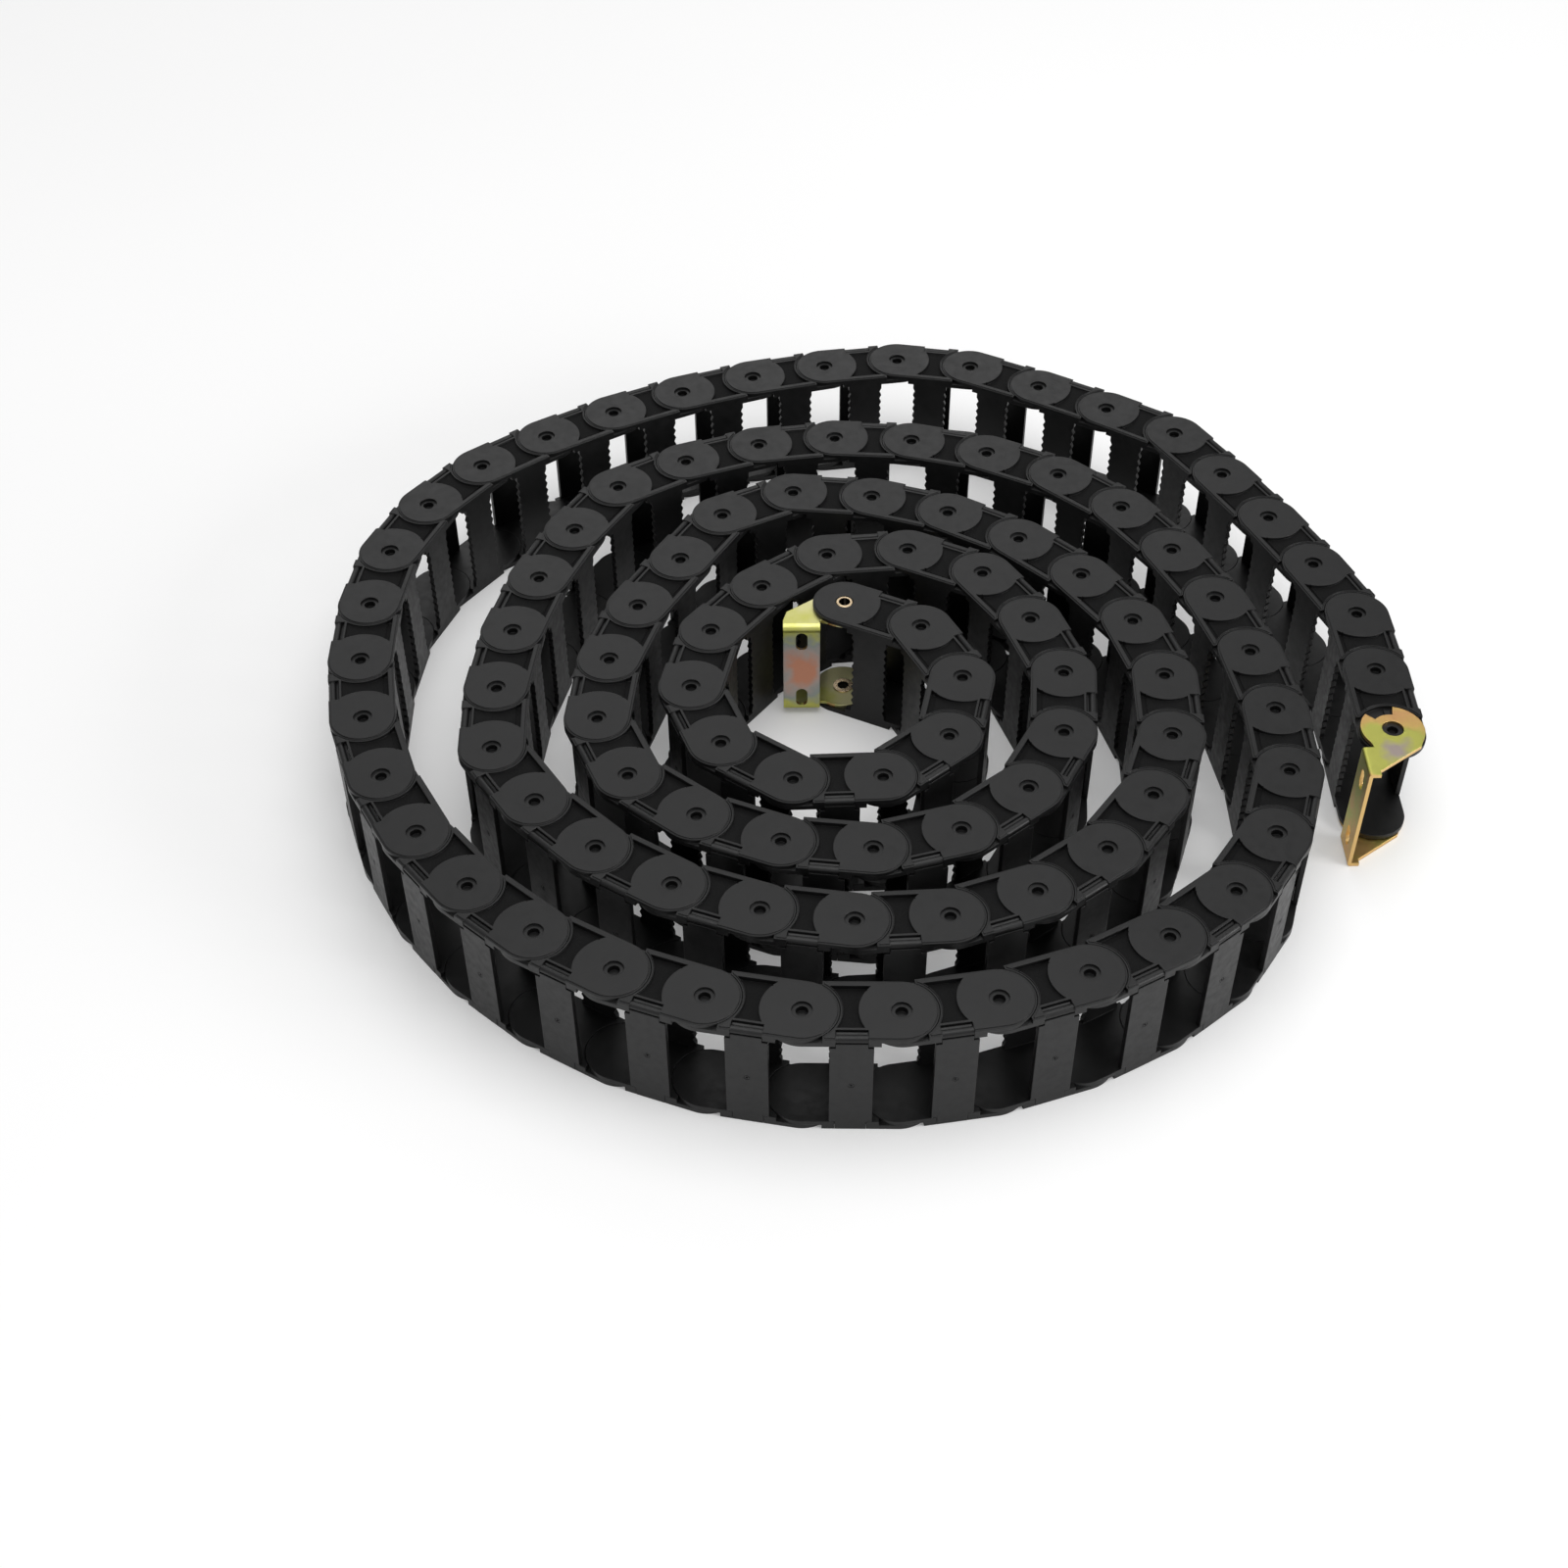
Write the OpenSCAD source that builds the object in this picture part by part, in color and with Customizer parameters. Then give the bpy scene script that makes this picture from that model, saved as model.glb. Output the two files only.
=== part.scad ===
// Cable drag chain: 96 plastic links lying on their side in a loose coil, with a sheet-metal
// end bracket at each end. A link is two side plates with a toothed inner bar seated between
// them; a second bar snaps over its outer side and opens about a barrel in the upper plate.
// A link is drawn along +X from its rear pivot, +Y towards the inside of the bend.

/* [Chain] */
// Distance between neighbouring pivots
pitch = 45; // [42:1:50]
// Width of the chain over both side plates
chain_w = 66.4; // [60:0.2:90]
// Height of a side plate
plate_h = 34.2; // [32.6:0.2:36]
// Thickness of a side plate
plate_t = 5.3; // [5:0.1:6.5]
// Thickness of the lobe, the outer leaf of a side plate
lobe_t = 2.6; // [2.4:0.1:2.8]
// How far the outer corners of a plate stop short of the neighbouring pivot
horn_x = 9.2; // [8.6:0.2:10]

/* [Pivots] */
// Radius of the hollow boss on a lug
boss_r = 5.3; // [5:0.1:5.8]
// Height of the boss above its lug
boss_h = 1.6; // [1.2:0.1:1.8]
// Radius of the opening in a lobe over the boss
eye_r = 4.8; // [4.2:0.1:4.9]
// Radius of the bore through the boss
bore_r = 2.9; // [2:0.1:3.4]
// Largest bend between two links
bend_max = 38; // [20:1:45]
// Inner end of the stop rib, from the pivot
rib_r0 = 10.5; // [8:0.5:11]
// Length of the stop rib
rib_len = 5; // [3:0.5:5]
// Width of the stop rib
rib_w = 3.2; // [2:0.2:4]
// Height of the stop rib above its lug
rib_h = 1; // [0.6:0.1:1.1]

/* [Crossbars] */
// Width of the crossbars along the chain
bar_w = 20; // [17:0.5:20.5]
// Thickness of the crossbars
bar_t = 2.5; // [2:0.1:3]
// Width of the hook and the tongue of a snap-on crossbar
hook_w = 14.5; // [10:0.5:15]
// Radius of the barrel that the hook turns on
barrel_r = 1.9; // [1.6:0.1:2]
// Thickness of the hook
hook_t = 1.3; // [1:0.1:1.4]
// Depth of the barrel's axis below the upper face
barrel_z = 2.4; // [2.2:0.1:2.8]
// Distance of the barrel's axis from the plate's edge
barrel_in = 2.15; // [2:0.05:2.4]
// Spacing of the teeth along the inner crossbar
tooth_pitch = 5; // [4:0.5:8]
// Depth of the teeth
tooth_d = 1.2; // [0.6:0.2:2]
// How far a snap-on crossbar stands proud of the plates' edges
bar_proud = 0.1; // [0:0.05:0.3]
// Depth of a snap-on crossbar's shoulder below the upper face
bar_drop = 6.5; // [6:0.1:8]
// Length of arc of the hook round its barrel
hook_turn = 120; // [90:5:130]

/* [Side plate detail] */
// Distance of the recess beside the inner rail from the rear pivot
recess_x = 14.5; // [13:0.5:16]
// Length of the recess
recess_len = 15; // [10:0.5:16]
// Width of the recess
recess_w = 3; // [2:0.5:4]
// Width of the inner rail
rail_w = 3.1; // [2.6:0.1:4]
// Distance of the rear groove from the leaf end beside it
groove_rear = 1.5; // [1:0.1:3]
// Distance of the front groove from the leaf end beside it
groove_front = 2.6; // [1.5:0.1:4]
// Length of arc of the grooves
groove_turn = 24; // [10:2:30]
// Width of the grooves
groove_w = 0.7; // [0.4:0.1:1.2]
// Width of the bevel round the outer faces
bevel_w = 0.9; // [0.4:0.1:1.4]
// Depth of the bevel
bevel_d = 0.5; // [0.3:0.1:0.8]

/* [End brackets] */
// Sheet thickness of the outer bracket
sheet_o = 2; // [1.5:0.1:2.4]
// Sheet thickness of the inner bracket
sheet_i = 2; // [1.5:0.1:2.4]
// Width of the brackets' webs
web_w = 20; // [16:1:24]
// Distance of the outer bracket's web from its pivot
web_out = 18; // [17:0.5:22]
// Width of the slots
slot_w = 6.2; // [5:0.2:7]
// Length of the slots
slot_len = 12; // [9:0.5:14]
// Spacing of the slots
slot_pitch = 40.5; // [36:0.5:42]
// Radius of the outer bracket's ears
outer_ear_r = 16.2; // [15:0.1:16.8]
// Radius of the inner bracket's ears
inner_ear_r = 16; // [15:0.1:16.8]
// Distance of the inner bracket's web from its pivot
web_in = 18; // [17:0.5:22]
// Distance from the fold to the free end of a bracket's side
fold_in = 6; // [5:0.5:8]
// Radius of a rivet's shank
rivet_r = 3.9; // [3.4:0.1:4.4]
// Radius of the flange of a rivet
rivet_flange_r = 5.6; // [5:0.1:6]
// Thickness of the flange of a rivet
rivet_flange_t = 0.6; // [0.4:0.1:1]
// Width of the bevel round a rivet's head
rivet_edge = 0.5; // [0.2:0.1:0.8]

/* [Clearances] */
// Between the leaves of neighbouring links
leaf_gap = 0.1; // [0.1:0.05:0.3]
// Round a boss, a barrel or a rivet
pin_gap = 0.1; // [0.05:0.05:0.15]
// Between a round leaf end and the plate beside it
end_gap = 0.3; // [0.2:0.05:0.5]
// Beside a hook or a tongue
snap_gap = 0.15; // [0.1:0.05:0.3]
// Beside a stop rib in its recess
rib_gap = 0.2; // [0.1:0.05:0.4]
// Between a snap-on crossbar's foot and the lower plate
foot_gap = 0.3; // [0.1:0.05:0.5]
// At each end of a seated inner bar
seat_gap = 0.02; // [0.01:0.01:0.05]

/* [Hidden] */
$fn = 64;
plate_r = plate_h / 2;
lug_z = lobe_t + leaf_gap;
mid_x = pitch / 2;
window_w = hook_w + 2 * snap_gap;
barrel_y = -plate_r + barrel_in;
hook_r0 = barrel_r + pin_gap;
hook_r1 = hook_r0 + hook_t;
window_d = barrel_in + hook_r1 + snap_gap;
bar_top = chain_w - bar_drop;
skirt = 1;
rear_groove_a = -27;
front_groove_a = 182;
hook_a = -100;
neck_lap = 1;
neck_rise = 0.6;

// The lay of the coil from its outer end: runs of joints, and the bend of each joint in a run.
first_heading = 90;
lay = [
    [1, 2], [1, 19], [3, 3], [1, 26], [2, 3], [2, 18], [5, 6], [3, 15], [2, 8], [12, 10],
    [3, 17], [4, 8], [2, 15], [5, 12], [1, 28], [4, 8], [1, 31], [5, 12], [7, 17], [4, 13],
    [2, 33], [1, 1], [2, 12], [2, 28], [2, 16], [5, 23], [1, 13], [3, 32], [1, 16], [1, 25],
    [2, 33], [5, 38]
];
bends = [for (run = lay) for (k = [1:run[0]]) run[1]];
links = len(bends) + 1;
function running(v) = [for (i = 0, s = v[0]; i < len(v); i = i + 1, s = s + (i < len(v) ? v[i] : s)) s];
headings = running(concat([first_heading], bends));
route = running(concat([[0, 0]], [for (h = headings) pitch * [cos(h), sin(h)]]));

// Each bracket's far web edge from its pivot, and the arm from the ear to the web.
web_end_o = 33.5;
web_end_i = 33.3;
outer_arm = [
    [outer_ear_r - 1, -5], [12, -13], [-web_out + fold_in, -web_end_o + 3],
    [-web_out + fold_in, -web_end_o + web_w], [-12.5, -11], [-15, -5.5]
];
inner_arm = [
    [-inner_ear_r, 6], [-web_end_i + 2, -5], [-web_end_i, -web_in + fold_in],
    [-web_end_i + web_w, -web_in + fold_in], [0, -inner_ear_r + 0.5]
];

free_links = 20;
open_bars = 29;
link_groups = [for (k = [0:3]) [21 + 19 * k, 39 + 19 * k]];
bar_groups = [[30, 46], [47, 63], [64, 80], [81, 96]];
function two(n) = str(n < 10 ? "0" : "", n);
function link_node(i) = str("link_", two(i));
function bar_node(i) = str("crossbar_", two(i));
function group_node(name, g) = str(name, "_", two(g[0]), "_to_", two(g[1]));

black = [0.16, 0.16, 0.17];
zinc = [0.80, 0.72, 0.42];
steel = [0.82, 0.82, 0.80];

// The middle of the coil in plan, which stands over the origin.
function middle(v) = (min(v) + max(v)) / 2;
centre = [middle([for (p = route) p[0]]), middle([for (p = route) p[1]])];

module at_link(i)
    translate([route[i - 1][0] - centre[0], route[i - 1][1] - centre[1], 0])
        rotate(headings[i - 1])
            children();

module at_pivot(i)
    translate([route[i][0] - centre[0], route[i][1] - centre[1], 0])
        children();

// A slab of a flat outline between two depths below the upper face.
module layer(top, bottom)
    translate([0, 0, chain_w - bottom])
        linear_extrude(bottom - top)
            children();

// A stretch of ring from one angle to another.
module sector(r0, r1, a0, a1) {
    fan = [for (k = [0:6]) a0 + (a1 - a0) * k / 6];
    difference() {
        polygon(concat([[0, 0]], [for (a = fan) 2 * r1 * [cos(a), sin(a)]]));
        circle(r0);
        difference() {
            circle(3 * r1);
            circle(r1);
        }
    }
}

// Outer leaf: a round lobe at the front, hollowed at the rear round the neighbour's lobe.
module lobe_outline(inset = 0)
    difference() {
        union() {
            translate([pitch, 0])
                circle(plate_r - inset);
            translate([horn_x + inset, -plate_r + inset])
                square([pitch - horn_x - inset, plate_h - 2 * inset]);
        }
        circle(plate_r + end_gap + inset);
    }

// Inner leaf: a round lug at the rear, hollowed at the front.
module lug_outline()
    difference() {
        union() {
            circle(plate_r);
            translate([0, -plate_r])
                square([pitch - horn_x, plate_h]);
        }
        translate([pitch, 0])
            circle(plate_r + end_gap);
    }

module recess()
    translate([recess_x, plate_r - rail_w - recess_w])
        square([recess_len, recess_w]);

module groove(r, a)
    sector(r, r + groove_w, a, a + groove_turn);

module grooves() {
    groove(plate_r + groove_rear, rear_groove_a);
    translate([pitch, 0])
        groove(plate_r + groove_front, front_groove_a);
}

// The hook's window through an upper plate, or the tongue's notch in a lower one.
module opening(upper)
    translate([mid_x - window_w / 2, -plate_r - skirt])
        square([window_w, skirt + (upper ? window_d : bar_t + snap_gap)]);

module stop_recess() {
    a0 = -asin((rib_w / 2 + rib_gap) / rib_r0);
    a1 = bend_max - a0;
    translate([pitch, 0])
        sector(rib_r0 - rib_gap, rib_r0 + rib_len + rib_gap, a0, a1);
}

// A side plate, outer face up; upper ones carry the barrel and lower ones the tongue's notch.
module side_plate(upper) {
    rib_z = lobe_t - rib_h - leaf_gap;
    face_z = upper ? bevel_d : 0;
    if (upper)
        layer(0, bevel_d)
            difference() {
                lobe_outline(bevel_w);
                translate([pitch, 0])
                    circle(eye_r);
                recess();
                grooves();
                opening(upper);
            }
    layer(face_z, lobe_t - boss_h)
        difference() {
            lobe_outline();
            translate([pitch, 0])
                circle(eye_r);
            recess();
            opening(upper);
        }
    layer(lobe_t - boss_h, rib_z)
        difference() {
            lobe_outline();
            translate([pitch, 0])
                circle(boss_r + pin_gap);
            recess();
            opening(upper);
        }
    layer(rib_z, lobe_t)
        difference() {
            lobe_outline();
            translate([pitch, 0])
                circle(boss_r + pin_gap);
            recess();
            if (upper)
                stop_recess();
            opening(upper);
        }
    layer(lobe_t, lug_z)
        difference() {
            intersection() {
                lobe_outline();
                lug_outline();
            }
            opening(upper);
        }
    layer(lug_z, plate_t)
        difference() {
            lug_outline();
            circle(bore_r);
            opening(upper);
        }
    layer(lug_z - boss_h + leaf_gap, lug_z)
        difference() {
            circle(boss_r);
            circle(bore_r);
        }
    if (upper)
        layer(lug_z - rib_h, lug_z)
            translate([rib_r0, -rib_w / 2])
                square([rib_len, rib_w]);
}

module barrel()
    translate([mid_x - window_w / 2 - skirt, barrel_y, chain_w - barrel_z])
        rotate([0, 90, 0])
            cylinder(h = window_w + 2 * skirt, r = barrel_r);

// The bar on the inside of the bend, its long edges toothed.
module inner_bar() {
    inner_h = chain_w - 2 * (plate_t + seat_gap);
    teeth = floor(inner_h / tooth_pitch) - 1;
    first = (inner_h - teeth * tooth_pitch) / 2;
    edge = concat(
        [[bar_w / 2, 0]],
        [for (k = [0:2 * teeth]) [bar_w / 2 - (k % 2) * tooth_d, first + k * tooth_pitch / 2]],
        [[bar_w / 2, inner_h]]
    );
    last = len(edge) - 1;
    mirrored = [for (k = [0:last]) [-edge[last - k][0], edge[last - k][1]]];
    translate([mid_x, plate_r, plate_t + seat_gap])
        rotate([90, 0, 0])
            linear_extrude(bar_t)
                polygon(concat(edge, mirrored));
}

module link_solid() {
    side_plate(true);
    translate([0, 0, chain_w])
        mirror([0, 0, 1])
            side_plate(false);
    inner_bar();
    barrel();
}

// The snap-on bar: a plate with a hook round the barrel and a tongue at the foot.
module crossbar_solid() {
    foot = plate_t + foot_gap;
    translate([mid_x - bar_w / 2, -plate_r - bar_proud, foot])
        cube([bar_w, bar_t, bar_top - foot]);
    translate([mid_x - hook_w / 2, -plate_r - bar_proud, bar_proud])
        cube([hook_w, bar_t, foot]);
    translate([mid_x - hook_w / 2, barrel_y, chain_w - barrel_z])
        rotate([90, 0, 90])
            linear_extrude(hook_w)
                difference() {
                    union() {
                        sector(hook_r0, hook_r1, hook_a, hook_a + hook_turn);
                        translate([-barrel_in - bar_proud, barrel_z - bar_drop - neck_lap])
                            square([bar_t, bar_drop - barrel_z + neck_lap - neck_rise * hook_r0]);
                    }
                    circle(hook_r0);
                }
}

// Two opposed sheet-metal ears and the web between them, drawn about the pivot.
module channel(z0, z1, sheet, x0, x1, web_y) {
    fold_r = 2 * sheet;
    translate([x0, web_y, 0])
        rotate([90, 0, 90])
            linear_extrude(x1 - x0)
                difference() {
                    fold_profile(z0, z1, fold_r, 0);
                    fold_profile(z0 + sheet, z1 - sheet, fold_r - sheet, sheet);
                }
}

module fold_profile(z0, z1, r, y0)
    difference() {
        translate([y0, z0])
            square([fold_in - y0, z1 - z0]);
        for (s = [0, 1])
            translate([y0, s == 0 ? z0 : z1])
                mirror([0, s, 0])
                    difference() {
                        translate([-skirt, -skirt])
                            square(r + skirt);
                        translate([r, r])
                            circle(r, $fn = 32);
                    }
        if (y0 > 0)
            translate([fold_in, 0])
                square([skirt, chain_w]);
    }

module web_slots(x, y)
    for (s = [-1, 1])
        upright_slot([x, y, chain_w / 2 + s * slot_pitch / 2]);

module upright_slot(at)
    translate(at)
        rotate([90, 0, 0])
            linear_extrude(2 * fold_in, center = true) {
                square([slot_w, slot_len - slot_w], center = true);
                for (s = [-1, 1])
                    translate([0, s * (slot_len - slot_w) / 2])
                        circle(slot_w / 2);
            }

module outer_ear() {
    rib_a = asin((rib_w / 2 + rib_gap) / rib_r0);
    difference() {
        union() {
            circle(outer_ear_r);
            polygon(outer_arm);
        }
        circle(boss_r + 2 * pin_gap);
        sector(rib_r0 - rib_gap, outer_ear_r, 90 - rib_a, 90 + rib_a + bend_max);
    }
}

module outer_bracket()
    color(zinc)
        at_pivot(0)
            difference() {
                union() {
                    ears(0, sheet_o)
                        outer_ear();
                    translate([-web_out, 0, 0])
                        rotate(-90)
                            channel(0, chain_w, sheet_o, web_end_o - web_w, web_end_o, 0);
                }
                rotate(90)
                    web_slots(-web_end_o + web_w / 2, web_out);
            }

module ears(depth, sheet)
    for (z = [depth, chain_w - depth - sheet])
        translate([0, 0, z])
            linear_extrude(sheet)
                children();

module inner_ear()
    difference() {
        union() {
            circle(inner_ear_r);
            polygon(inner_arm);
        }
        circle(rivet_r + pin_gap / 2);
    }

module inner_bracket()
    color(zinc)
        at_pivot(links)
            difference() {
                union() {
                    ears(lug_z, sheet_i)
                        inner_ear();
                    channel(lug_z, chain_w - lug_z, sheet_i, -web_end_i, -web_end_i + web_w, -web_in);
                }
                web_slots(-web_end_i + web_w / 2, -web_in);
            }

// A hollow rivet: its head and collar are the pivot in the lobe, its flange holds the ear.
module rivet() {
    head_r = eye_r - pin_gap;
    collar_z = -lobe_t + boss_h - pin_gap;
    ear_z = -lug_z - sheet_i;
    flange_z = ear_z - rivet_flange_t;
    rotate_extrude()
        polygon([
            [bore_r, -leaf_gap], [head_r - rivet_edge, -leaf_gap], [head_r, -leaf_gap - rivet_edge],
            [head_r, collar_z], [boss_r, collar_z], [boss_r, -lug_z], [rivet_r, -lug_z],
            [rivet_r, ear_z], [rivet_flange_r, ear_z], [rivet_flange_r, flange_z], [bore_r, flange_z]
        ]);
}

module inner_rivets()
    color(steel)
        at_pivot(links) {
            translate([0, 0, chain_w])
                rivet();
            mirror([0, 0, 1])
                rivet();
        }

module link(i)
    color(black)
        at_link(i)
            link_solid();

module crossbar(i)
    color(black)
        at_link(i)
            crossbar_solid();

outer_bracket();
inner_bracket();
inner_rivets();
for (i = [1:free_links])
    link(i);
for (g = link_groups)
    for (i = [g[0]:g[1]]) link(i);
for (i = [1:open_bars])
    crossbar(i);
for (g = bar_groups)
    for (i = [g[0]:g[1]]) crossbar(i);
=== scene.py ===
"""Looks of the coiled cable drag chain: moulded plastic, passivated sheet metal, studio and camera."""

import math

import bpy
from mathutils import Matrix, Vector


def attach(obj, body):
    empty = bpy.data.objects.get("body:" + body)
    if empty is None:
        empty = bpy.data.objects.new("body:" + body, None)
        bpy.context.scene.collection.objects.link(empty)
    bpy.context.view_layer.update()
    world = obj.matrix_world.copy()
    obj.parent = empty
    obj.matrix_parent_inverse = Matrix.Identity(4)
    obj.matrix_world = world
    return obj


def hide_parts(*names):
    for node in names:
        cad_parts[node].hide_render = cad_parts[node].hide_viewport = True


# The camera: a 51 mm lens on a 36 mm sensor, looking down at the coil from the front.
LENS_MM = 51.2
SENSOR_MM = 36.0
LOOK_DOWN_DEG = 45.09
ROLL_DEG = 0.505
AIM_AZIMUTH_DEG = 0.18
CAMERA_AT = (-0.0403, -0.8921, 0.8499)

PLASTIC_GREY = 0.0055
GRAIN_SIZE = 0.00035
STIPPLE_SIZE = 0.0009
EDGE_RADIUS = 0.0006

RIVET_BORE_R = 0.0031

PAPER_GLOW = 0.15

# Chromate colours from the brackets' middles outwards.
ORANGE = (0.80, 0.46, 0.20)
ROSE = (0.66, 0.31, 0.20)
LIME = (0.62, 0.62, 0.15)
GOLD = (0.80, 0.54, 0.19)
STRAW = (0.76, 0.72, 0.40)
LILAC = (0.50, 0.42, 0.38)
SLATE = (0.36, 0.40, 0.38)
OUTER_BANDS = [(0.10, LILAC), (0.26, LIME), (0.46, LIME), (0.60, GOLD), (0.76, ORANGE), (0.95, GOLD)]
INNER_BANDS = [(0.12, ROSE), (0.24, LILAC), (0.34, SLATE), (0.46, LIME), (0.66, STRAW), (0.90, STRAW)]
# The bare edge of the sheet, and how far a face has to turn sideways to count as one.
SHEARED = (0.80, 0.54, 0.22, 1.0)
SHEARED_FROM = 0.3

# The plating of a rivet, dull and bright, and the painted shade in its bore.
RIVET_DULL = (0.72, 0.52, 0.32)
RIVET_BRIGHT = (0.92, 0.76, 0.52)
RIVET_BORE_SHADE = (0.03, 0.025, 0.02, 1.0)

# The chain's route: runs of joints with the bend of each, as the part's source lays them.
PITCH = 0.045
CHAIN_W = 0.0664
FIRST_HEADING_DEG = 90.0
LAY = (
    (1, 2), (1, 19), (3, 3), (1, 26), (2, 3), (2, 18), (5, 6), (3, 15), (2, 8), (12, 10),
    (3, 17), (4, 8), (2, 15), (5, 12), (1, 28), (4, 8), (1, 31), (5, 12), (7, 17), (4, 13),
    (2, 33), (1, 1), (2, 12), (2, 28), (2, 16), (5, 23), (1, 13), (3, 32), (1, 16), (1, 25),
    (2, 33), (5, 38),
)
FREE_LINKS = 20
OPEN_BARS = 29
LINK_GROUPS = ((21, 39), (40, 58), (59, 77), (78, 96))
BAR_GROUPS = ((30, 46), (47, 63), (64, 80), (81, 96))

# The sunken waist of a side plate: between the rim round the hollow end and the disc. Its floor
# is told from the other faces by its depth, between a little above and a little below it.
WAIST_REAR_R = 0.0186
WAIST_FRONT_R = 0.0195
WAIST_OUTER_Y = -0.0103
WAIST_INNER_Y = 0.0140
WAIST_SHALLOW = 0.0010
WAIST_DEEP = 0.0022
WAIST_FLOOR_FROM = 0.8 * WAIST_SHALLOW

# The gate mark in the middle of each crossbar's outer face, and the floor in each pivot bore.
BAR_FACE_Y = -0.0172
BAR_MID_X = 0.0225
GATE_Z = 0.0330
BORE_R = 0.0031
PLATE_T = 0.0053
WAIST_FLOOR_TO = 1.15 * PLATE_T / 2
BORE_FLOOR = 0.0010
GATE_RING_R = 0.0016
GATE_PIT_R = 0.0006

# The outer bracket, from its pivot: its web's outer face and rear end, the outer radius of its
# folds as the solids have it and as pressed, the radius inside, and the share of a fold's turn
# that is laid out flat at each end.
WEB_OUT = 0.018
WEB_REAR_Y = -0.0134
FOLD_DRAWN_R = 0.0040
FOLD_R = 0.0016
FOLD_INNER_R = 0.0004
FLAT_SHARE = 0.25

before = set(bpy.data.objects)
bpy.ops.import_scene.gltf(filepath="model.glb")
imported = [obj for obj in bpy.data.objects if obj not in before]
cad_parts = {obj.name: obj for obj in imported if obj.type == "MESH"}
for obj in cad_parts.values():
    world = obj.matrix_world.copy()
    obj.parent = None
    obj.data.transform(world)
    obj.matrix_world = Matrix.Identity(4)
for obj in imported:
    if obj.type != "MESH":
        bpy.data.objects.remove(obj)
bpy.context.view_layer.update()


# ---------------------------------------------------------------- node helpers
class Shader:
    """A material's node tree, with one call for each kind of node that the finishes use."""

    def __init__(self, name):
        self.material = bpy.data.materials.new(name)
        self.material.use_nodes = True
        self.nodes = self.material.node_tree.nodes
        self.links = self.material.node_tree.links
        self.surface = self.nodes["Principled BSDF"]
        self.place = self.nodes.new("ShaderNodeTexCoord").outputs["Object"]

    def feed(self, target, value):
        if isinstance(value, bpy.types.NodeSocket):
            self.links.new(value, target)
        else:
            target.default_value = value

    def node(self, kind, inputs=None, **settings):
        made = self.nodes.new(kind)
        for key, value in settings.items():
            setattr(made, key, value)
        for key, value in (inputs or {}).items():
            self.feed(made.inputs[key], value)
        return made

    def noise(self, size, detail=2.0, rough=0.5, at=None):
        made = self.node(
            "ShaderNodeTexNoise",
            {"Vector": at or self.place, "Scale": 1.0 / size, "Detail": detail, "Roughness": rough},
        )
        return made.outputs["Fac"]

    def ramp(self, value, stops):
        made = self.node("ShaderNodeValToRGB", {"Fac": value})
        band = made.color_ramp
        while len(band.elements) < len(stops):
            band.elements.new(0.5)
        for element, (position, colour) in zip(band.elements, stops):
            element.position = position
            element.color = (*colour, 1.0)
        return made.outputs["Color"]

    def spread(self, value, low, high, from_low=0.3, from_high=0.7):
        made = self.node(
            "ShaderNodeMapRange",
            {"Value": value, "From Min": from_low, "From Max": from_high, "To Min": low, "To Max": high},
        )
        return made.outputs["Result"]

    def maths(self, operation, a, b=0.0):
        made = self.node("ShaderNodeMath", {0: a, 1: b}, operation=operation)
        return made.outputs["Value"]

    def mix(self, factor, a, b):
        made = self.node("ShaderNodeMix", data_type="RGBA")
        self.feed(made.inputs["Factor"], factor)
        self.feed(made.inputs[6], a)
        self.feed(made.inputs[7], b)
        return made.outputs[2]

    def bump(self, height, strength, distance, normal=None):
        inputs = {"Height": height, "Strength": strength, "Distance": distance}
        if normal is not None:
            inputs["Normal"] = normal
        return self.node("ShaderNodeBump", inputs).outputs["Normal"]

    def soft_edges(self, radius):
        return self.node("ShaderNodeBevel", {"Radius": radius}, samples=4).outputs["Normal"]

    def finish(self, **inputs):
        for key, value in inputs.items():
            self.feed(self.surface.inputs[key.replace("_", " ")], value)
        return self.material


def grey(value):
    return (value, value, value * 1.03)


# ---------------------------------------------------------------- finishes
def moulded_plastic():
    """Black polyamide: fine grain, faint flow marks and slightly rubbed edges that catch the light."""
    shader = Shader("moulded_plastic")
    grain = shader.noise(GRAIN_SIZE, detail=3.0, rough=0.6)
    flow = shader.noise(0.018, detail=4.0, rough=0.6)
    colour = shader.ramp(flow, [(0.3, grey(PLASTIC_GREY)), (0.7, grey(PLASTIC_GREY * 1.35))])
    edges = shader.soft_edges(EDGE_RADIUS)
    return shader.finish(
        Base_Color=colour,
        Roughness=shader.spread(shader.noise(0.004, detail=3.0), 0.32, 0.46),
        Specular_IOR_Level=0.39,
        Normal=shader.bump(grain, 0.35, 0.00006, edges),
    )


def stippled_shaded_plastic():
    """The same polyamide where the mould was eroded coarsely, so it is duller, and darker as painted shade on
    the sunken floors.
    """
    shader = Shader("stippled_shaded_plastic")
    stipple = shader.noise(STIPPLE_SIZE, detail=2.0, rough=0.7)
    # The base colour is darker than the smooth plastic's: painted shade on the sunken floors.
    return shader.finish(
        Base_Color=shader.ramp(stipple, [(0.35, grey(PLASTIC_GREY * 0.5)), (0.65, grey(PLASTIC_GREY * 0.9))]),
        Roughness=0.75,
        Specular_IOR_Level=0.16,
        Normal=shader.bump(stipple, 0.8, 0.0002),
    )


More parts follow.
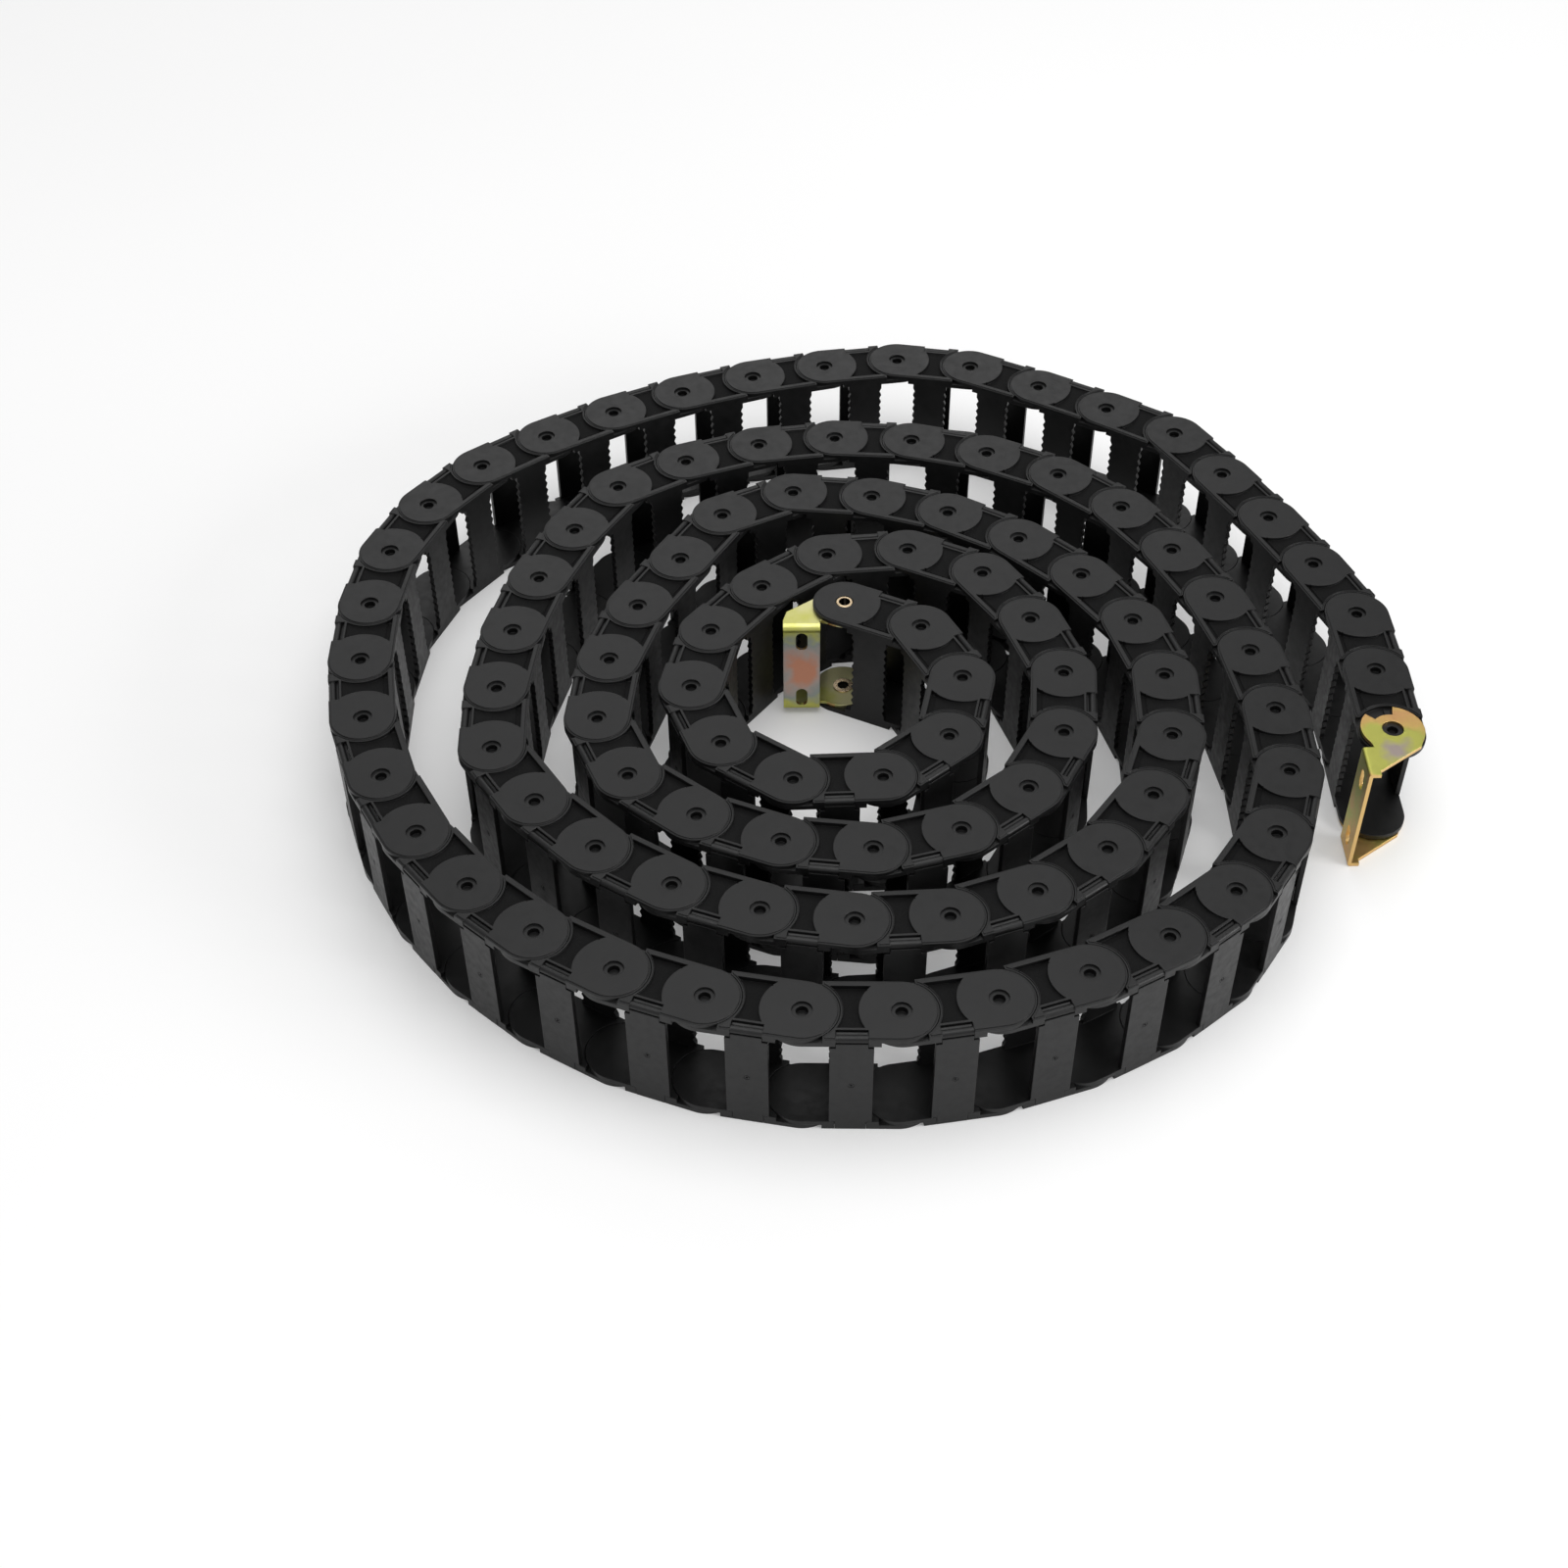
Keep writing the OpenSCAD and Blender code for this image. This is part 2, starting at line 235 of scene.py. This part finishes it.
def passivated_zinc(name, centre, stretch, bands, cut_axis):
    """Yellow chromate on zinc sheet: rounded square bands of colour round one point of the piece."""
    shader = Shader(name)
    shifted = shader.node("ShaderNodeVectorMath", {0: shader.place, 1: centre}, operation="SUBTRACT")
    scaled = shader.node("ShaderNodeVectorMath", {0: shifted.outputs[0], 1: stretch}, operation="MULTIPLY")
    side = scaled.outputs[0]
    squared = shader.node("ShaderNodeVectorMath", {0: side, 1: side}, operation="MULTIPLY").outputs[0]
    fourth = shader.node("ShaderNodeVectorMath", {0: squared, 1: squared}, operation="DOT_PRODUCT")
    reach = shader.maths("POWER", fourth.outputs["Value"], 0.25)
    drift = shader.spread(shader.noise(0.011, detail=2.0), -0.08, 0.08)
    film = shader.ramp(shader.maths("ADD", reach, drift), bands)
    facing = shader.node("ShaderNodeNewGeometry").outputs["Normal"]
    across = shader.node("ShaderNodeSeparateXYZ", {0: facing})
    sideways = shader.maths("ABSOLUTE", across.outputs[cut_axis])
    sheared = shader.maths("GREATER_THAN", sideways, SHEARED_FROM)
    colour = shader.mix(sheared, film, SHEARED)
    scuffs = shader.noise(0.0012, detail=4.0, rough=0.65)
    return shader.finish(
        Base_Color=colour,
        Metallic=1.0,
        Roughness=shader.spread(scuffs, 0.30, 0.46),
        Normal=shader.bump(scuffs, 0.12, 0.00005, shader.soft_edges(EDGE_RADIUS)),
    )


def bright_rivet(axis):
    """Plated steel, turned smooth, with a trace of handling marks and its bore painted near-black as painted
    shade.
    """
    shader = Shader("bright_rivet")
    marks = shader.noise(0.0007, detail=3.0)
    shifted = shader.node("ShaderNodeVectorMath", {0: shader.place, 1: axis}, operation="SUBTRACT")
    level = (1.0, 1.0, 0.0)
    flat = shader.node("ShaderNodeVectorMath", {0: shifted.outputs[0], 1: level}, operation="MULTIPLY")
    reach = shader.node("ShaderNodeVectorMath", {0: flat.outputs[0]}, operation="LENGTH")
    plated = shader.ramp(marks, [(0.3, RIVET_DULL), (0.7, RIVET_BRIGHT)])
    # Inside the bore's radius the colour is near-black: painted shade in the rivet's hollow.
    in_shaded_bore = shader.maths("LESS_THAN", reach.outputs["Value"], RIVET_BORE_R)
    return shader.finish(
        Base_Color=shader.mix(in_shaded_bore, plated, RIVET_BORE_SHADE),
        Metallic=1.0,
        Roughness=shader.spread(marks, 0.16, 0.30),
        Normal=shader.bump(marks, 0.08, 0.00004, shader.soft_edges(EDGE_RADIUS)),
    )


# ---------------------------------------------------------------- the chain's own pieces
def places_along_the_lay():
    """Each link's place, from its rear pivot, with the middle of the route over the origin."""
    heading = FIRST_HEADING_DEG
    headings = [heading]
    for joints, bend in LAY:
        for _ in range(joints):
            heading += bend
            headings.append(heading)
    pivots = [Vector((0.0, 0.0, 0.0))]
    for angle in headings:
        along = math.radians(angle)
        pivots.append(pivots[-1] + PITCH * Vector((math.cos(along), math.sin(along), 0.0)))
    middle = [(min(p[k] for p in pivots) + max(p[k] for p in pivots)) / 2 for k in (0, 1)]
    shift = Matrix.Translation((-middle[0], -middle[1], 0.0))
    return [
        shift @ Matrix.Translation(pivot) @ Matrix.Rotation(math.radians(angle), 4, "Z")
        for pivot, angle in zip(pivots, headings)
    ]


def deselect():
    bpy.ops.object.select_all(action="DESELECT")


def only(thing):
    deselect()
    bpy.context.view_layer.objects.active = thing
    thing.select_set(True)


def apply_place(thing):
    only(thing)
    bpy.ops.object.transform_apply(location=True, rotation=True, scale=True)


def cylinder(radius, depth, at, turn=(0.0, 0.0, 0.0), sides=96):
    deselect()
    bpy.ops.mesh.primitive_cylinder_add(
        vertices=sides, radius=radius, depth=depth, location=at, rotation=turn
    )
    made = bpy.context.object
    apply_place(made)
    return made


def block(low, high):
    deselect()
    centre = [(a + b) / 2 for a, b in zip(low, high)]
    bpy.ops.mesh.primitive_cube_add(size=1.0, location=centre)
    made = bpy.context.object
    made.scale = [b - a for a, b in zip(low, high)]
    apply_place(made)
    return made


def carve(piece, cutter, operation="DIFFERENCE"):
    only(piece)
    modifier = piece.modifiers.new("carve", "BOOLEAN")
    modifier.operation = operation
    modifier.solver = "EXACT"
    modifier.object = cutter
    bpy.ops.object.modifier_apply(modifier=modifier.name)
    bpy.data.objects.remove(cutter)


def moulding_of(node_name, place, material):
    """A merged copy of a CAD piece, brought to the frame that a link is drawn in."""
    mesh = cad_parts[node_name].data.copy()
    mesh.transform(place.inverted())
    piece = bpy.data.objects.new(node_name + "_moulding", mesh)
    bpy.context.scene.collection.objects.link(piece)
    only(piece)
    bpy.ops.object.mode_set(mode="EDIT")
    bpy.ops.mesh.select_all(action="SELECT")
    bpy.ops.mesh.remove_doubles(threshold=0.000001)
    bpy.ops.object.mode_set(mode="OBJECT")
    piece.data.materials.clear()
    piece.data.materials.append(material)
    return piece


def stipple_and_shade_waists(link):
    """Gives the sunken floors their own, coarser finish, darkened as painted shade."""
    for face in link.data.polygons:
        depth = min(face.center.z, CHAIN_W - face.center.z)
        sunk = WAIST_FLOOR_FROM < depth < WAIST_FLOOR_TO and abs(face.normal.z) > 0.9
        beyond_rim = face.center.xy.length > WAIST_REAR_R
        before_disc = (face.center.xy - Vector((PITCH, 0.0))).length > WAIST_FRONT_R
        if sunk and beyond_rim and before_disc and WAIST_OUTER_Y < face.center.y < WAIST_INNER_Y:
            face.material_index = 1


def waist_cutter():
    """The wedge that sinks the waist of an upper plate, deepest along the inner rail."""
    top = CHAIN_W + 0.001
    cutter = block((0.008, WAIST_OUTER_Y, CHAIN_W - WAIST_SHALLOW), (0.036, WAIST_INNER_Y, top))
    for vertex in cutter.data.vertices:
        if vertex.co.z < CHAIN_W and vertex.co.y > 0.0:
            vertex.co.z = CHAIN_W - WAIST_DEEP
    carve(cutter, cylinder(WAIST_REAR_R, 0.02, (0.0, 0.0, CHAIN_W)))
    carve(cutter, cylinder(WAIST_FRONT_R, 0.02, (PITCH, 0.0, CHAIN_W)))
    return cutter


def carved_link(place, smooth, stipple_and_shade):
    """A link with its waist sunk on both sides and the floors that close its two bores."""
    link = moulding_of("link_01", place, smooth)
    for inner_face, side in ((CHAIN_W - PLATE_T, 0.5), (PLATE_T, -0.5)):
        plug = cylinder(BORE_R, BORE_FLOOR, (0.0, 0.0, inner_face + side * BORE_FLOOR), sides=32)
        carve(link, plug, "UNION")
    carve(link, waist_cutter())
    lower = waist_cutter()
    lower.scale = (1.0, 1.0, -1.0)
    lower.location = (0.0, 0.0, CHAIN_W)
    apply_place(lower)
    only(lower)
    bpy.ops.object.mode_set(mode="EDIT")
    bpy.ops.mesh.select_all(action="SELECT")
    bpy.ops.mesh.normals_make_consistent(inside=False)
    bpy.ops.object.mode_set(mode="OBJECT")
    carve(link, lower)
    link.data.materials.append(stipple_and_shade)
    stipple_and_shade_waists(link)
    return link


def gated_crossbar(place, smooth):
    bar = moulding_of("crossbar_01", place, smooth)
    upright = (math.radians(90.0), 0.0, 0.0)
    ring = cylinder(GATE_RING_R, 0.0004, (BAR_MID_X, BAR_FACE_Y, GATE_Z), upright, 24)
    carve(ring, cylinder(GATE_RING_R * 0.72, 0.001, (BAR_MID_X, BAR_FACE_Y, GATE_Z), upright, 24))
    carve(bar, ring)
    carve(bar, cylinder(GATE_PIT_R, 0.0012, (BAR_MID_X, BAR_FACE_Y, GATE_Z), upright, 16))
    return bar


def crisp_bracket(place, material):
    """The outer bracket with its two folds drawn in to the tight radius of pressed sheet."""
    bracket = moulding_of("outer_bracket", place, material)
    for vertex in bracket.data.vertices:
        upper = vertex.co.z > CHAIN_W / 2
        across = vertex.co.x + WEB_OUT
        down = CHAIN_W - vertex.co.z if upper else vertex.co.z
        if vertex.co.y > WEB_REAR_Y or across > FOLD_DRAWN_R or down > FOLD_DRAWN_R:
            continue
        arm = Vector((FOLD_DRAWN_R - across, FOLD_DRAWN_R - down))
        depth = FOLD_DRAWN_R - arm.length
        radius = FOLD_R if depth < FOLD_R / 2 else FOLD_INNER_R
        centre = depth + radius
        turned = math.atan2(arm.y, arm.x) / math.radians(90.0)
        straight = centre - FOLD_DRAWN_R
        if turned < FLAT_SHARE:
            across, down = depth, FOLD_DRAWN_R + straight * turned / FLAT_SHARE
        elif turned > 1.0 - FLAT_SHARE:
            across, down = FOLD_DRAWN_R + straight * (1.0 - turned) / FLAT_SHARE, depth
        else:
            angle = math.radians(90.0) * (turned - FLAT_SHARE) / (1.0 - 2.0 * FLAT_SHARE)
            across, down = centre - radius * math.cos(angle), centre - radius * math.sin(angle)
        vertex.co.x = across - WEB_OUT
        vertex.co.z = CHAIN_W - down if upper else down
    return bracket


def lay_pieces(pattern, places, numbers, name, node_name, body):
    """Copies of one moulding at their places along the route, joined into one riding piece."""
    copies = []
    for number in numbers:
        mesh = pattern.data.copy()
        mesh.transform(places[number - 1])
        made = bpy.data.objects.new(f"{name}_part_{number:02d}", mesh)
        bpy.context.scene.collection.objects.link(made)
        copies.append(made)
    deselect()
    for made in copies:
        made.select_set(True)
    bpy.context.view_layer.objects.active = copies[0]
    if len(copies) > 1:
        bpy.ops.object.join()
    piece = copies[0]
    piece.name = name
    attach(piece, body)
    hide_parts(node_name)


def chain(smooth, stipple_and_shade):
    places = places_along_the_lay()
    link = carved_link(places[0], smooth, stipple_and_shade)
    bar = gated_crossbar(places[0], smooth)
    for pattern, kind, free, groups in (
        (link, "link", FREE_LINKS, LINK_GROUPS),
        (bar, "crossbar", OPEN_BARS, BAR_GROUPS),
    ):
        for number in range(1, free + 1):
            node = f"{kind}_{number:02d}"
            lay_pieces(pattern, places, [number], "finished_" + node, node, node)
        for first, last in groups:
            node = f"{kind}s_{first}_to_{last}"
            numbers = range(first, last + 1)
            lay_pieces(pattern, places, numbers, "finished_" + node, node, "inner_coil")
        bpy.data.objects.remove(pattern)


def dress_cad_nodes():
    plastic = moulded_plastic()
    places = places_along_the_lay()
    inner_pivot = places[-1] @ Vector((PITCH, 0.0, 0.0))
    outer_zinc = passivated_zinc(
        "passivated_zinc_outer", (0.2654, -0.0905, 0.0664), (28.0, 28.0, 9.0), OUTER_BANDS, "Y"
    )
    special = {
        "outer_bracket": outer_zinc,
        "inner_bracket": passivated_zinc(
            "passivated_zinc_inner", (-0.0330, 0.0098, 0.0332), (26.0, 26.0, 17.0), INNER_BANDS, "X"
        ),
        "inner_rivets": bright_rivet(inner_pivot),
    }
    for name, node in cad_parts.items():
        material = special.get(name, plastic)
        for slot in node.material_slots:
            slot.material = material
    chain(plastic, stippled_shaded_plastic())
    outer_pivot = Matrix.Translation(places[0].translation)
    bracket = crisp_bracket(outer_pivot, outer_zinc)
    bracket.data.transform(outer_pivot)
    bracket.name = "pressed_outer_bracket"
    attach(bracket, "outer_bracket")
    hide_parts("outer_bracket")


# ---------------------------------------------------------------- studio
def floor():
    deselect()
    bpy.ops.mesh.primitive_plane_add(size=12.0, location=(0.0, 0.0, -0.0002))
    plane = bpy.context.object
    plane.name = "studio_floor"
    shader = Shader("studio_paper")
    tone = shader.ramp(shader.noise(0.9), [(0.3, (0.86, 0.86, 0.86)), (0.7, (0.89, 0.89, 0.89))])
    seen = shader.node("ShaderNodeLightPath").outputs["Is Camera Ray"]
    paper = shader.finish(
        Base_Color=tone,
        Roughness=0.9,
        Specular_IOR_Level=0.1,
        Emission_Color=(1.0, 1.0, 1.0, 1.0),
        Emission_Strength=shader.maths("MULTIPLY", seen, PAPER_GLOW),
    )
    plane.data.materials.append(paper)


def area_light(name, at, target, size, power):
    lamp = bpy.data.lights.new(name, "AREA")
    lamp.shape = "RECTANGLE"
    lamp.size, lamp.size_y = size
    lamp.energy = power
    holder = bpy.data.objects.new(name, lamp)
    bpy.context.scene.collection.objects.link(holder)
    holder.location = at
    holder.rotation_euler = (Vector(target) - Vector(at)).to_track_quat("-Z", "Y").to_euler()


def lights():
    world = bpy.data.worlds.new("studio_world")
    bpy.context.scene.world = world
    world.use_nodes = True
    background = world.node_tree.nodes["Background"]
    background.inputs["Color"].default_value = (1.0, 1.0, 1.0, 1.0)
    background.inputs["Strength"].default_value = 0.40
    area_light("overhead_softbox", (0.1, 0.0, 2.5), (0.0, 0.05, 0.0), (2.8, 2.2), 36.0)
    area_light("back_softbox", (-0.4, 3.2, 2.0), (0.0, 0.0, 0.0), (3.0, 1.2), 12.0)
    area_light("right_softbox", (1.9, -0.9, 0.8), (0.0, 0.0, 0.0), (1.2, 0.9), 21.0)
    area_light("front_fill", (-0.8, -2.2, 1.0), (0.0, 0.0, 0.0), (1.6, 0.9), 3.0)


def camera():
    data = bpy.data.cameras.new("camera")
    data.lens = LENS_MM
    data.sensor_width = SENSOR_MM
    data.clip_end = 50.0
    eye = bpy.data.objects.new("camera", data)
    bpy.context.scene.collection.objects.link(eye)
    turn = Matrix.Rotation(math.radians(AIM_AZIMUTH_DEG), 4, "Z")
    tilt = Matrix.Rotation(math.radians(90.0 - LOOK_DOWN_DEG), 4, "X")
    roll = Matrix.Rotation(math.radians(-ROLL_DEG), 4, "Z")
    eye.matrix_world = Matrix.Translation(CAMERA_AT) @ turn @ tilt @ roll
    bpy.context.scene.camera = eye


bpy.context.scene.view_settings.view_transform = "Standard"
camera()
dress_cad_nodes()
floor()
lights()
